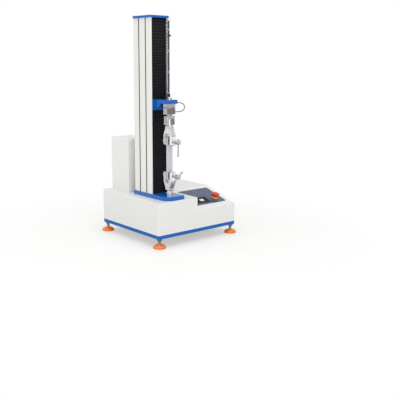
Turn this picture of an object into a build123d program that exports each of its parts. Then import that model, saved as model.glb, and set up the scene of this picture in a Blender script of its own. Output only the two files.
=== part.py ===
from build123d import *
import os
from math import atan, cos, degrees, pi, radians, sin, tan

# Universal testing machine, single column, in millimetres.
# +X is right and +Y is back as seen from the operator; +Z is up.
# The origin is on the bench, midway between the frontmost and rearmost points.

# Base housing
casing_w = 505.0
casing_d = 482.0
casing_h = 177.0
casing_wall = 2.0
casing_corner_r = 6.0
casing_edge_r = 2.5
band_h = 18.0
tray_floor_t = 4.0
tray_wall = 3.0
raised_w = 245.0
console_front_h = 112.0
console_run = 225.0

# Levelling feet
foot_h = 47.0
foot_inset = 17.0
pad_d = 62.0
pad_h = 18.0
pad_neck_d = 26.0
stud_d = 14.0
stud_rise = 26.0
foot_nut_af = 24.0
foot_nut_t = 9.0

# Load axis, measured from the front left corner of the casing
axis_from_left = 110.0
axis_from_front = 55.0
throat = 73.0

# Work table
table_w = 110.0
table_t = 20.0
table_front_gap = 8.0
table_corner_r = 50.0
table_tail = 4.0
table_edge_r = 1.5

# Column extrusion
column_w = 104.0
column_d = 142.0
column_h = 842.0
column_wall = 5.0
front_bay_d = 44.0
web_d = 24.0
screw_bay_w = 35.0
screw_bay_d = 16.0
groove_w = 8.0
groove_head_w = 14.0
groove_lip = 3.0
groove_depth = 8.0
groove_from_front = 44.0
groove_pitch = 53.0
rib_zone_d = 20.0
rib_t = 5.0
top_plate_t = 11.0
top_plate_proud = 6.0
top_plate_r = 12.0

# Guide and drive
rail_w = 11.0
rail_h = 15.0
rail_offset = 28.5
rail_end_gap = 6.0
block_w = 24.0
block_l = 22.0
block_run_gap = 0.3
screw_d = 16.0
journal_d = 12.0
nut_w = 26.0
nut_h = 40.0
bearing_h = 26.0
screw_from_front = 38.0
run_fit = 0.05
snug = 0.1

# Bellows
bellows_set_back = 4.0
bellows_t = 12.0
bellows_side_gap = 1.0
fold_depth = 4.0
upper_fold_pitch = 14.0
lower_fold_pitch = 9.8

# Crosshead
carriage_h = 52.0
carriage_t = 16.0
arm_w = 58.0
arm_t = 18.0
gusset_t = 8.0
gusset_run = 45.0
gusset_drop = 30.0
gusset_toe = 7.0
arm_bolt_d = 21.0
arm_bolt_h = 12.0

# Load train
cell_w = 51.0
cell_d = 28.0
cell_h = 51.0
cell_slot = 3.0
cell_slot_l = 38.0
cover_w = 47.0
cover_h = 26.0
cover_t = 1.2
lock_nut_af = 26.0
lock_nut_t = 6.5
clevis_w = 45.0
clevis_d = 31.0
clevis_h = 43.5
clevis_slot_w = 32.0
clevis_slot_h = 28.0
ring_d = 28.0
ring_t = 3.0
pin_d = 8.0

# Grips
yoke_h = 94.5
yoke_w = 27.0
yoke_leg_span = 66.0
yoke_leg_h = 48.0
yoke_neck_span = 38.0
yoke_neck_h = 12.0
yoke_edge_r = 4.0
yoke_window_w = 38.0
yoke_window_h = 58.0
tang_d = 16.0
tang_flat = 14.0
upper_tang_l = 30.0
upper_pin_at = 20.0
lower_tang_l = 38.0
lower_pin_at = 12.0
jaw_t = 7.0
jaw_w = 36.0
jaw_h = 39.0
jaw_inset = 2.0
jaw_socket = 3.0
clamp_h = 19.0
clamp_d = 14.0
clamp_tip_d = 10.0
clamp_head_d = 22.0
clamp_head_from = 48.0
grip_reach = 75.0
clamp_collar_d = 17.0
clamp_collar_l = 4.0
back_head_d = 25.0
back_head_l = 10.5
back_key_af = 10.0
bar_d = 7.0
bar_end_d = 10.0
bar_end_l = 6.0
bar_l = 84.0
bar_from_tip = 8.0
lower_bar_tilt = 49.0
lower_bar_shift = -9.0
adapter_d = 28.0
adapter_h = 24.0

# Test strip
strip_w = 33.0
strip_t = 7.0
strip_free = 127.5
strip_grip = 36.0

# Load cell cable, as offsets to the right of the load axis and above the arm's underside
cable_d = 3.8
cable_from_axis = 15.0
gland_d = 9.0
gland_l = 6.0
cable_high = 4.6
cable_low = -40.0
cable_route = [
    (46.0, 4.4), (60.5, 2.9), (75.0, -0.6), (86.0, -8.0), (90.5, -19.0),
    (86.5, -30.0), (76.0, -37.0), (61.5, -39.6), (46.0, -40.0),
]

# Limit rod
rod_d = 8.0
rod_inside = 3.8
rod_ahead = 8.0
rod_foot_gap = 12.0
rod_head_gap = 6.0
rod_travel = 4.0
stop_d = 12.0
stop_h = 10.0
upper_stop_drop = 85.0
lower_stop_rise = 330.0
thumb_d = 7.0
thumb_l = 6.0
trip_bush_d = 14.0
trip_bush_h = 26.0
trip_plate_t = 4.0
trip_plate_w = 14.0
switch_w = 22.0
switch_d = 20.0
switch_h = 46.0
bracket_t = 6.0
bracket_run = 22.0
guide_h = 12.0
guide_w = 14.0

# Rear cover and drive motor
cover_box_w = 130.0
cover_box_d = 152.0
cover_box_h = 277.0
cover_box_wall = 1.5
cover_box_r = 4.0
cover_box_gap = 40.0
motor_w = 80.0
motor_l = 130.0
motor_flange_t = 10.0
motor_shaft_d = 14.0

# Belt drive
screw_teeth = 26
motor_teeth = 12
tooth_pitch = 10.0
tooth_h = 2.4
pulley_h = 20.0
pulley_flange_t = 1.5
belt_t = 3.0
belt_w = 15.0
pedestal_w = 112.0
pedestal_wall = 6.0
pedestal_top_t = 10.0
pedestal_window = 80.0
pedestal_window_up = 70.0
pulley_drop = 12.0

# Console parts
panel_left_gap = 29.0
panel_l = 163.0
panel_t = 2.0
panel_r = 6.0
panel_right_gap = 30.0
panel_front_gap = 39.0
display_share = 0.53
display_h = 70.0
display_t = 0.8
display_from_left = 10.0
display_from_front = 14.0
estop_share = 0.19
estop_from_front = 83.0
estop_collar_d = 36.0
estop_collar_h = 8.0
estop_head_d = 39.0
estop_head_h = 16.0
estop_gap = 4.2
estop_skirt_d = 31.0
estop_recess = 5.0
estop_stem_d = 12.0
estop_barrel_d = 22.0
estop_barrel_l = 16.0
estop_block_w = 34.0
estop_block_h = 26.0

# Rear panel
rear_panel_w = 250.0
rear_panel_h = 112.0
rear_panel_t = 1.5
rear_panel_up = 12.0
rear_panel_right = 22.0
rear_lap = 8.0
vent_w = 3.2
vent_l = 60.0
vent_pitch = 7.0
vent_count = 12
inlet_w = 31.0
inlet_h = 25.0
inlet_d = 24.0
inlet_lip = 3.0
inlet_cavity_w = 24.0
inlet_cavity_h = 17.0
inlet_cavity_d = 17.0
inlet_pin_l = 12.0
rocker_w = 20.0
rocker_h = 28.0
rocker_d = 18.0
rocker_tilt = 9.0
port_w = 31.0
port_h = 13.0
port_d = 8.0
fastener_d = 7.0
fastener_h = 2.2

# Electronics
unit_gap = 35.0
unit_from_back = 50.0
drive_w = 90.0
drive_d = 150.0
drive_h = 84.0
fin_count = 9
fin_t = 2.0
fin_h = 10.0
supply_w = 70.0
supply_d = 150.0
supply_h = 50.0

# Places worked out from the sizes
x_left = -casing_w / 2
x_right = casing_w / 2
overhang = grip_reach - axis_from_front
rear_reach = pad_d / 2 - foot_inset
y_front = overhang - (overhang + casing_d + rear_reach) / 2
y_back = y_front + casing_d
axis_x = x_left + axis_from_left
axis_y = y_front + axis_from_front
column_y = axis_y + throat
column_back = column_y + column_d
z_tray = foot_h
z_rim = z_tray + band_h
z_deck = z_tray + casing_h
z_table = z_deck + table_t
z_column_top = z_table + column_h
z_lower_face = z_table + adapter_h + yoke_h
z_upper_face = z_lower_face + strip_free
z_upper_yoke_top = z_upper_face + yoke_h
z_clevis = z_upper_yoke_top + ring_t
z_clevis_top = z_clevis + clevis_h
z_cell = z_clevis_top + lock_nut_t
z_arm = z_cell + cell_h
z_arm_top = z_arm + arm_t
z_carriage = z_arm_top - carriage_h
carriage_y = column_y + bellows_set_back
carriage_back = carriage_y + carriage_t
rail_base_y = column_y + front_bay_d
screw_y = column_y + screw_from_front
rod_x = axis_x + column_w / 2 - rod_inside
rod_y = column_y - rod_ahead
x_step = x_left + raised_w
panel_w = x_right - x_step - panel_left_gap - panel_right_gap
display_w = panel_w * display_share
panel_x = x_right - panel_right_gap - panel_w / 2
estop_x = panel_x + panel_w / 2 - panel_w * estop_share
slope = (casing_h - console_front_h) / console_run
slope_angle = degrees(atan(slope))
cover_box_y = column_back + cover_box_gap
motor_y = cover_box_y + cover_box_d / 2
foot_places = [
    (x, y)
    for x in (x_left + foot_inset, x_right - foot_inset)
    for y in (y_front + foot_inset, y_back - foot_inset)
]


# Helpers for prisms and round bars along one axis
def prism_x(points, x0, x1):
    return extrude(Plane.YZ.offset(x0) * make_face(Polyline(*points, close=True)), x1 - x0)


def prism_y(points, y0, y1):
    plane = Plane(origin=(0, y1, 0), x_dir=(1, 0, 0), z_dir=(0, -1, 0))
    return extrude(plane * make_face(Polyline(*points, close=True)), y1 - y0)


def bar_x(d, x0, x1, y, z):
    return Pos((x0 + x1) / 2, y, z) * Cylinder(d / 2, x1 - x0, rotation=(0, 90, 0))


def bar_y(d, y0, y1, x, z):
    return Pos(x, (y0 + y1) / 2, z) * Cylinder(d / 2, y1 - y0, rotation=(90, 0, 0))


def bar_z(d, z0, z1, x, y):
    return Pos(x, y, (z0 + z1) / 2) * Cylinder(d / 2, z1 - z0)


def brick(x0, x1, y0, y1, z0, z1):
    return Pos((x0 + x1) / 2, (y0 + y1) / 2, (z0 + z1) / 2) * Box(x1 - x0, y1 - y0, z1 - z0)


def rounded_plate(x0, x1, y0, y1, z0, z1, r):
    sketch = Pos((x0 + x1) / 2, (y0 + y1) / 2, z0) * RectangleRounded(x1 - x0, y1 - y0, r)
    return extrude(sketch, z1 - z0)


def hexagon(af, z0, z1, x, y):
    return extrude(Pos(x, y, z0) * RegularPolygon(af / 2, 6, major_radius=False), z1 - z0)


def dome_arc(r, z0, z1):
    rise = z1 - z0
    ball_r = (r * r + rise * rise) / (2 * rise)
    middle = z1 - ball_r + (ball_r * ball_r - r * r / 4) ** 0.5
    return ThreePointArc((r, z0), (r / 2, middle), (0, z1))


def group(*shapes):
    return Compound(children=[solid for shape in shapes for solid in shape.solids()])


def at_feet(shape):
    return group(*[Pos(x, y, 0) * shape for x, y in foot_places])


# Local plane on the console slope, at a distance from the front edge
def console_plane(x, from_front):
    angle = radians(slope_angle)
    origin = (x, y_front + from_front, z_tray + console_front_h + from_front * slope)
    return Plane(origin=origin, x_dir=(1, 0, 0), z_dir=(0, -sin(angle), cos(angle)))


# Base housing
def base_tray():
    outer = rounded_plate(x_left, x_right, y_front, y_back, z_tray, z_rim, casing_corner_r)
    hollow = rounded_plate(x_left + tray_wall, x_right - tray_wall, y_front + tray_wall,
                           y_back - tray_wall, z_tray + tray_floor_t, z_rim + 1, tray_wall)
    tray = outer - hollow
    for x, y in foot_places:
        tray -= bar_z(stud_d + 2 * snug, z_tray - 1, z_tray + tray_floor_t + 1, x, y)
    return tray


def console_cutter(inset):
    drop = inset / cos(radians(slope_angle))
    reach = console_run + 40
    low = z_tray + console_front_h - drop
    ahead = casing_wall + casing_corner_r
    corner = [
        (y_front - ahead, low - ahead * slope),
        (y_front + reach, low + reach * slope),
        (y_front - ahead, low + reach * slope),
    ]
    return prism_x(corner, x_step - inset, x_right + ahead)


def casing_form(inset):
    block = rounded_plate(x_left + inset, x_right - inset, y_front + inset, y_back - inset,
                          z_rim, z_deck - inset, casing_corner_r - inset)
    return block - console_cutter(inset)


def base_casing():
    outer = casing_form(0)
    upper = outer.edges().filter_by(lambda edge: edge.bounding_box().min.Z > z_rim + 1)
    outer = fillet(upper.filter_by(lambda edge: edge.length > casing_corner_r), casing_edge_r)
    shell = outer - casing_form(casing_wall)
    deck_low = z_deck - casing_wall - 1
    shell -= bar_z(screw_d + 8, deck_low, z_deck + 1, axis_x, screw_y)
    shell -= bar_z(motor_shaft_d + 12, deck_low, z_deck + 1, axis_x, motor_y)
    shell -= bar_z(tang_d + 4, deck_low, z_deck + 1, axis_x, axis_y)
    x1 = x_right - rear_panel_right - rear_lap
    x0 = x_right - rear_panel_right - rear_panel_w + rear_lap
    z0 = z_rim + rear_panel_up + rear_lap
    shell -= brick(x0, x1, y_back - casing_wall - 1, y_back + 1, z0, z0 + rear_panel_h - 2 * rear_lap)
    hole = console_plane(estop_x, estop_from_front) * Cylinder(estop_barrel_d / 2 + snug, 6 * casing_wall)
    return shell - hole


def foot_pad():
    r = pad_d / 2
    neck = pad_neck_d / 2
    rim = pad_h * 0.3
    outline = [
        Line((0, 0), (r, 0)),
        Line((r, 0), (r, rim)),
        ThreePointArc((r, rim), ((r + neck) / 2 + 2.5, pad_h * 0.78), (neck, pad_h)),
        Line((neck, pad_h), (0, pad_h)),
        Line((0, pad_h), (0, 0)),
    ]
    dome = revolve(Plane.XZ * make_face(outline), Axis.Z)
    socket = Pos(0, 0, pad_h - stud_socket) * Cylinder(stud_d / 2 + snug, stud_socket + 1,
                                                       align=(Align.CENTER, Align.CENTER, Align.MIN))
    return dome - socket


def foot_stud():
    z0 = pad_h - stud_socket
    stud = bar_z(stud_d, z0, z_tray + tray_floor_t + stud_rise, 0, 0)
    return chamfer(stud.edges(), 1)


def foot_nut():
    nut = hexagon(foot_nut_af, z_tray - foot_nut_t, z_tray, 0, 0)
    return nut - bar_z(stud_d + 2 * snug, 0, z_tray + 1, 0, 0)


def pedestal_frame():
    x0 = axis_x - pedestal_w / 2
    x1 = axis_x + pedestal_w / 2
    y1 = motor_y + motor_w / 2
    top = z_deck - casing_wall
    frame = brick(x0, x1, column_y, y1, z_tray + tray_floor_t, top)
    frame -= brick(x0 + pedestal_wall, x1 - pedestal_wall, column_y - 1, y1 + 1,
                   z_tray + tray_floor_t + pedestal_wall, top - pedestal_top_t)
    frame -= bar_z(screw_d + 2, top - pedestal_top_t - 1, top + 1, axis_x, screw_y)
    frame -= bar_z(motor_shaft_d + 2, top - pedestal_top_t - 1, top + 1, axis_x, motor_y)
    half = pedestal_window / 2
    window = rounded_plate(-half, half, -half, half, 0, pedestal_w + 2, 12)
    middle = (x0 - 1, (column_y + y1) / 2, z_tray + pedestal_window_up)
    return frame - Plane(origin=middle, x_dir=(0, 1, 0), z_dir=(1, 0, 0)) * window


# Work table and column
def work_table():
    x0 = axis_x - table_w / 2
    x1 = axis_x + table_w / 2
    plate = brick(x0, x1, y_front + table_front_gap, column_back + table_tail, z_deck, z_table)
    corner = plate.edges().filter_by(Axis.Z).sort_by(Axis.Y)[:2].sort_by(Axis.X)[0]
    plate = fillet(corner, table_corner_r)
    plate = fillet(plate.edges().group_by(Axis.Z)[-1], table_edge_r)
    plate -= bar_z(tang_d + 2 * snug, z_deck - 1, z_table + 1, axis_x, axis_y)
    return plate - bar_z(screw_d + 6, z_deck - 1, z_table + 1, axis_x, screw_y)


def accessory_groove(side, y):
    edge = axis_x + side * column_w / 2
    lip = edge - side * groove_lip
    floor = edge - side * groove_depth
    mouth = brick(min(edge + side, lip), max(edge + side, lip), y - groove_w / 2, y + groove_w / 2,
                  z_table, z_column_top)
    head = brick(min(floor, lip), max(floor, lip), y - groove_head_w / 2, y + groove_head_w / 2,
                 z_table, z_column_top)
    return mouth + head


def column_profile():
    half = column_w / 2
    inner = half - column_wall
    y = column_y
    column = rounded_plate(axis_x - half, axis_x + half, y, column_back, z_table, z_column_top, 2)
    front_rib = groove_from_front - rib_zone_d / 2
    rear_rib = groove_from_front + groove_pitch - rib_zone_d / 2
    bays = [
        (inner, -1, front_rib),
        (inner - rib_t, front_rib - 1, front_bay_d),
        (screw_bay_w / 2, front_bay_d - 1, front_bay_d + screw_bay_d),
        (inner, front_bay_d + web_d, rear_rib),
        (inner - rib_t, rear_rib - 1, rear_rib + rib_zone_d + 1),
        (inner, rear_rib + rib_zone_d, column_d - column_wall),
    ]
    for reach, start, end in bays:
        column -= brick(axis_x - reach, axis_x + reach, y + start, y + end, z_table, z_column_top)
    for side in (-1, 1):
        for step in range(2):
            column -= accessory_groove(side, y + groove_from_front + step * groove_pitch)
    return column


def top_plate():
    x0 = axis_x - column_w / 2 - top_plate_proud
    x1 = axis_x + column_w / 2 + top_plate_proud
    plate = rounded_plate(x0, x1, column_y - top_plate_proud, column_back + top_plate_proud / 2,
                          z_column_top, z_column_top + top_plate_t, top_plate_r)
    plate = chamfer(plate.edges().group_by(Axis.Z)[-1], table_edge_r)
    for x, y in top_screw_places:
        plate -= bar_z(fastener_d / 2, z_column_top - 1, z_column_top + top_plate_t + 1, x, y)
    return plate


def cap_screw(head_d, shank_l, depth=0.0):
    upward = (Align.CENTER, Align.CENTER, Align.MIN)
    downward = (Align.CENTER, Align.CENTER, Align.MAX)
    head = Pos(0, 0, -depth) * Cylinder(head_d / 2, fastener_h, align=upward)
    head = chamfer(head.edges().group_by(Axis.Z)[-1], fastener_h / 4)
    head -= extrude(Pos(0, 0, fastener_h * 0.4 - depth) * RegularPolygon(head_d / 4, 6), fastener_h)
    shank = Pos(0, 0, -depth) * Cylinder(head_d / 4 - snug, shank_l, align=downward)
    return head + shank


def top_plate_screws():
    screw = cap_screw(fastener_d, top_plate_t)
    return group(*[Pos(x, y, z_column_top + top_plate_t) * screw for x, y in top_screw_places])


# Guide, screw and drive
def guide_rails():
    z0 = z_table + rail_end_gap
    z1 = z_column_top - rail_end_gap
    rails = []
    for side in (-1, 1):
        x = axis_x + side * rail_offset
        w = rail_w / 2
        waist = w - 1.5
        y0 = rail_base_y - rail_h
        outline = [
            (x - w, y0), (x + w, y0), (x + w, y0 + 4), (x + waist, y0 + 6), (x + waist, y0 + 9),
            (x + w, y0 + 11), (x + w, rail_base_y), (x - w, rail_base_y), (x - w, y0 + 11),
            (x - waist, y0 + 9), (x - waist, y0 + 6), (x - w, y0 + 4),
        ]
        face = Pos(0, 0, z0) * make_face(Polyline(*outline, close=True))
        rails.append(extrude(face, z1 - z0))
    return group(*rails)


def rail_blocks():
    blocks = []
    gap = block_run_gap
    for side in (-1, 1):
        x = axis_x + side * rail_offset
        y1 = rail_base_y - gap * 4
        for z0 in (z_carriage + 2, z_arm_top - 2 - block_l):
            body = brick(x - block_w / 2, x + block_w / 2, carriage_back, y1, z0, z0 + block_l)
            run = brick(x - rail_w / 2 - gap, x + rail_w / 2 + gap, rail_base_y - rail_h - gap, y1 + 1,
                        z0 - 1, z0 + block_l + 1)
            blocks.append(body - run)
    return group(*blocks)


def ball_screw():
    z_low = pulley_z - 2
    shaft = bar_z(screw_d, z_table + bearing_h, z_column_top - bearing_h, axis_x, screw_y)
    lower = bar_z(journal_d, z_low, z_table + bearing_h, axis_x, screw_y)
    upper = bar_z(journal_d, z_column_top - bearing_h, z_column_top - 2, axis_x, screw_y)
    return shaft + lower + upper


def bearing_block(z0):
    half = screw_bay_w / 2 - snug
    y0 = carriage_back + 2
    block = brick(axis_x - half, axis_x + half, y0, rail_base_y + screw_bay_d - 0.5, z0, z0 + bearing_h)
    block = chamfer(block.edges().filter_by(Axis.Z).sort_by(Axis.Y)[:2], 4)
    return block - bar_z(journal_d + 2 * run_fit, z0 - 1, z0 + bearing_h + 1, axis_x, screw_y)


def ball_nut():
    z0 = z_carriage + (carriage_h - nut_h) / 2
    nut = bar_z(nut_w, z0, z0 + nut_h, axis_x, screw_y)
    saddle = brick(axis_x - nut_w / 2, axis_x + nut_w / 2, carriage_back, screw_y, z0, z0 + nut_h)
    return nut + saddle - bar_z(screw_d + 2 * run_fit, z0 - 1, z0 + nut_h + 1, axis_x, screw_y)


def toothed_pulley(teeth, bore, x, y):
    tip_r = teeth * tooth_pitch / (2 * pi) - 0.8
    root_r = tip_r - tooth_h
    half = tooth_pitch * 0.24
    body = bar_z(2 * root_r, pulley_z, pulley_z + pulley_h, 0, 0)
    tooth = make_face(Polyline((root_r - 0.4, -half), (tip_r, -half * 0.6), (tip_r, half * 0.6),
                               (root_r - 0.4, half), close=True))
    bar = Pos(0, 0, pulley_z + pulley_flange_t) * extrude(tooth, pulley_h - 2 * pulley_flange_t)
    body += [Rot(0, 0, i * 360 / teeth) * bar for i in range(teeth)]
    for z in (pulley_z, pulley_z + pulley_h - pulley_flange_t):
        body += bar_z(2 * tip_r + 3, z, z + pulley_flange_t, 0, 0)
    return Pos(x, y, 0) * body - bar_z(bore, pulley_z - 1, pulley_z + pulley_h + 1, x, y)


def drive_belt():
    z0 = pulley_z + (pulley_h - belt_w) / 2
    r0 = screw_teeth * tooth_pitch / (2 * pi) - 0.8 + 0.3
    r1 = motor_teeth * tooth_pitch / (2 * pi) - 0.8 + 0.3
    span = motor_y - screw_y

    def loop(extra):
        a = r0 + extra
        b = r1 + extra
        lean = (a - b) / span
        rise = (1 - lean * lean) ** 0.5
        outline = [
            ThreePointArc((a * rise, a * lean), (0, -a), (-a * rise, a * lean)),
            Line((-a * rise, a * lean), (-b * rise, span + b * lean)),
            ThreePointArc((-b * rise, span + b * lean), (0, span + b), (b * rise, span + b * lean)),
            Line((b * rise, span + b * lean), (a * rise, a * lean)),
        ]
        return extrude(Pos(axis_x, screw_y, z0) * make_face(outline), belt_w)

    return loop(belt_t) - loop(0)


def servo_motor():
    half = motor_w / 2
    flange = rounded_plate(axis_x - half, axis_x + half, motor_y - half, motor_y + half,
                           z_deck, z_deck + motor_flange_t, 6)
    for sx in (-1, 1):
        for sy in (-1, 1):
            flange -= bar_z(6.6, z_deck - 1, z_deck + motor_flange_t + 1,
                            axis_x + sx * (half - 8), motor_y + sy * (half - 8))
    inner = half - 8
    body = rounded_plate(axis_x - inner, axis_x + inner, motor_y - inner, motor_y + inner,
                         z_deck + motor_flange_t, z_deck + motor_l, 10)
    cap = bar_z(2 * inner - 10, z_deck + motor_l, z_deck + motor_l + 28, axis_x, motor_y)
    bore = bar_z(motor_shaft_d + 2 * run_fit, z_deck - 1, z_deck + 22, axis_x, motor_y)
    return flange + body + cap - bore


def motor_shaft():
    return bar_z(motor_shaft_d, pulley_z - 2, z_deck + 20, axis_x, motor_y)


def drive_unit():
    x0 = axis_x + pedestal_w / 2 + unit_gap
    y0 = y_back - drive_d - unit_from_back
    z0 = z_tray + tray_floor_t
    body = rounded_plate(x0, x0 + drive_w, y0, y0 + drive_d, z0, z0 + drive_h - fin_h, 3)
    pitch = (drive_w - fin_t) / (fin_count - 1)
    for i in range(fin_count):
        x = x0 + i * pitch
        body += brick(x, x + fin_t, y0 + 6, y0 + drive_d - 6, z0 + drive_h - fin_h - 1, z0 + drive_h)
    return body


def power_unit():
    x0 = axis_x + pedestal_w / 2 + 2 * unit_gap + drive_w
    y0 = y_back - supply_d - unit_from_back
    z0 = z_tray + tray_floor_t
    body = rounded_plate(x0, x0 + supply_w, y0, y0 + supply_d, z0, z0 + supply_h, 2)
    edge = supply_w / 6
    for i in range(6):
        y = y0 + (i + 1) * supply_d / 7.5
        body -= brick(x0 + edge, x0 + supply_w - edge, y, y + 6, z0 + supply_h - 2, z0 + supply_h + 1)
    return body


def rear_cover():
    half = cover_box_w / 2
    y0 = cover_box_y
    y1 = y0 + cover_box_d
    z1 = z_deck + cover_box_h
    outer = brick(axis_x - half, axis_x + half, y0, y1, z_deck, z1)
    outer = fillet(outer.edges().filter_by(lambda edge: edge.center().Z > z_deck + 1), cover_box_r)
    wall = cover_box_wall
    inner = rounded_plate(axis_x - half + wall, axis_x + half - wall, y0 + wall, y1 - wall,
                          z_deck - 1, z1 - wall, cover_box_r - wall)
    cover = outer - inner
    for i in range(vent_count):
        z = z1 - 40 - i * vent_pitch
        cover -= brick(axis_x - vent_l / 2, axis_x + vent_l / 2, y1 - 2 * wall, y1 + 1, z - vent_w, z)
    return cover


# Bellows with mitred folds
def bellows(z0, z1, fold_pitch):
    folds = round((z1 - z0) / fold_pitch)
    pitch = (z1 - z0) / folds
    half = column_w / 2 - column_wall - bellows_side_gap
    front = carriage_y
    back = front + bellows_t
    levels = []
    for i in range(folds):
        levels.append((fold_depth, z0 + i * pitch))
        levels.append((0, z0 + (i + 0.5) * pitch))
    levels.append((fold_depth, z1))
    face = [(front + inset, z) for inset, z in levels]
    side = [(axis_x - half + inset, z) for inset, z in levels]
    other = [(axis_x + half - inset, z) for inset, z in reversed(levels)]
    across = prism_x([(back, z0)] + face + [(back, z1)], axis_x - half, axis_x + half)
    through = prism_y(side + other, front, back)
    return across & through


# Crosshead
def carriage():
    half = column_w / 2 - column_wall - bellows_side_gap
    return brick(axis_x - half, axis_x + half, carriage_y, carriage_back, z_carriage, z_arm_top)


def crosshead_arm():
    front = axis_y - arm_w / 2
    x0 = axis_x - arm_w / 2
    x1 = axis_x + arm_w / 2
    arm = brick(x0, x1, front, carriage_y, z_arm, z_arm_top)
    nose = arm.edges().filter_by(Axis.Z).sort_by(Axis.Y)[:2]
    arm = fillet(nose, 4)
    arm = fillet(arm.edges().group_by(Axis.Z)[-1].sort_by(Axis.Y)[:-1], 1.2)
    web = [
        (carriage_y, z_arm), (carriage_y - gusset_run, z_arm),
        (carriage_y - gusset_toe, z_arm - gusset_drop), (carriage_y, z_arm - gusset_drop),
    ]
    arm += prism_x(web, x0, x0 + gusset_t)
    arm += prism_x(web, x1 - gusset_t, x1)
    return arm - bar_z(journal_d + 2 * snug, z_arm - 1, z_arm_top + 1, axis_x, axis_y)


def arm_bolt():
    head = bar_z(arm_bolt_d, z_arm_top, z_arm_top + arm_bolt_h, axis_x, axis_y)
    head = chamfer(head.edges().group_by(Axis.Z)[-1], 1.5)
    socket_floor = z_arm_top + arm_bolt_h / 2
    head -= hexagon(arm_bolt_d * 0.48, socket_floor, z_arm_top + arm_bolt_h + 1, axis_x, axis_y)
    return head + bar_z(journal_d, z_arm - cell_bolt_l, z_arm_top, axis_x, axis_y)


def load_cell():
    x0 = axis_x - cell_w / 2
    x1 = axis_x + cell_w / 2
    y0 = axis_y - cell_d / 2
    body = brick(x0, x1, y0, y0 + cell_d, z_cell, z_arm)
    body = fillet(body.edges().filter_by(Axis.Y), 2)
    cuts = [
        (x0 - 1, x0 + cell_slot_l, z_cell + cell_h * 0.62),
        (x1 - cell_slot_l, x1 + 1, z_cell + cell_h * 0.3),
    ]
    for a, b, z in cuts:
        body -= brick(a, b, y0 - 1, y0 + cell_d + 1, z - cell_slot / 2, z + cell_slot / 2)
    body -= bar_y(8, y0 - 1, y0 + cell_d + 1, x0 + cell_slot_l, z_cell + cell_h * 0.62)
    body -= bar_z(journal_d + 2 * snug, z_arm - cell_bolt_l - 1, z_arm + 1, axis_x, axis_y)
    return body


def cell_cover():
    z0 = z_cell + 1.5
    y0 = axis_y - cell_d / 2 - cover_t
    plate = brick(axis_x - cover_w / 2, axis_x + cover_w / 2, y0, y0 + cover_t, z0, z0 + cover_h)
    return fillet(plate.edges().filter_by(Axis.Y), 2)


def cable_points():
    y = axis_y - cable_from_axis + cell_d / 2 - 4
    start = Vector(axis_x + arm_w / 2 + gland_l, y, z_arm + cable_high)
    end = Vector(axis_x + cell_w / 2 + gland_l, y, z_arm + cable_low)
    middle = [Vector(axis_x + across, y, z_arm + up) for across, up in cable_route]
    return [start] + middle + [end]


def corner_radii(points):
    radii = []
    for before, corner, after in zip(points, points[1:], points[2:]):
        first = corner - before
        second = after - corner
        turn = first.get_angle(second)
        radii.append(0.45 * min(first.length, second.length) / tan(radians(turn) / 2))
    return radii


def cell_cable():
    points = cable_points()
    radii = corner_radii(points)
    path = FilletPolyline(*points, radius=radii)
    section = Plane(origin=points[0], z_dir=points[1] - points[0]) * Circle(cable_d / 2)
    tube = sweep(section, path=path)
    print("cable radii", [round(r, 1) for r in radii], "length", round(path.length, 1),
          "volume ratio", round(tube.volume / (path.length * pi * cable_d ** 2 / 4), 4))
    return tube


def cable_glands():
    start = cable_points()[0]
    end = cable_points()[-1]
    glands = []
    for point in (start, end):
        body = bar_x(gland_d, point.X - gland_l, point.X - 2, point.Y, point.Z)
        body += bar_x(gland_d - 3, point.X - 2, point.X, point.Y, point.Z)
        glands.append(body)
    return group(*glands)


def lock_nut():
    return hexagon(lock_nut_af, z_clevis_top, z_cell, axis_x, axis_y)


def clevis():
    block = brick(axis_x - clevis_w / 2, axis_x + clevis_w / 2, axis_y - clevis_d / 2,
                  axis_y + clevis_d / 2, z_clevis, z_clevis_top)
    block = fillet(block.edges().filter_by(Axis.Z), 3)
    block = chamfer(block.edges().group_by(Axis.Z)[-1], 1.5)
    half = clevis_slot_w / 2
    block -= brick(axis_x - half, axis_x + half, axis_y - clevis_d, axis_y + clevis_d,
                   z_clevis - 1, z_clevis + clevis_slot_h)
    return block - bar_x(pin_d + 2 * snug, axis_x - clevis_w, axis_x + clevis_w, axis_y, z_upper_pin)


def clevis_pin():
    pin = bar_x(pin_d, axis_x - clevis_w / 2 - 2, axis_x + clevis_w / 2 + 3, axis_y, z_upper_pin)
    head = bar_x(pin_d + 5, axis_x - clevis_w / 2 - 4, axis_x - clevis_w / 2, axis_y, z_upper_pin)
    return pin + chamfer(head.edges(), 0.8)


def lock_ring():
    ring = bar_z(ring_d, z_upper_yoke_top, z_clevis, axis_x, axis_y)
    return ring - bar_z(tang_d + 2 * snug, z_upper_yoke_top - 1, z_clevis + 1, axis_x, axis_y)


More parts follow.
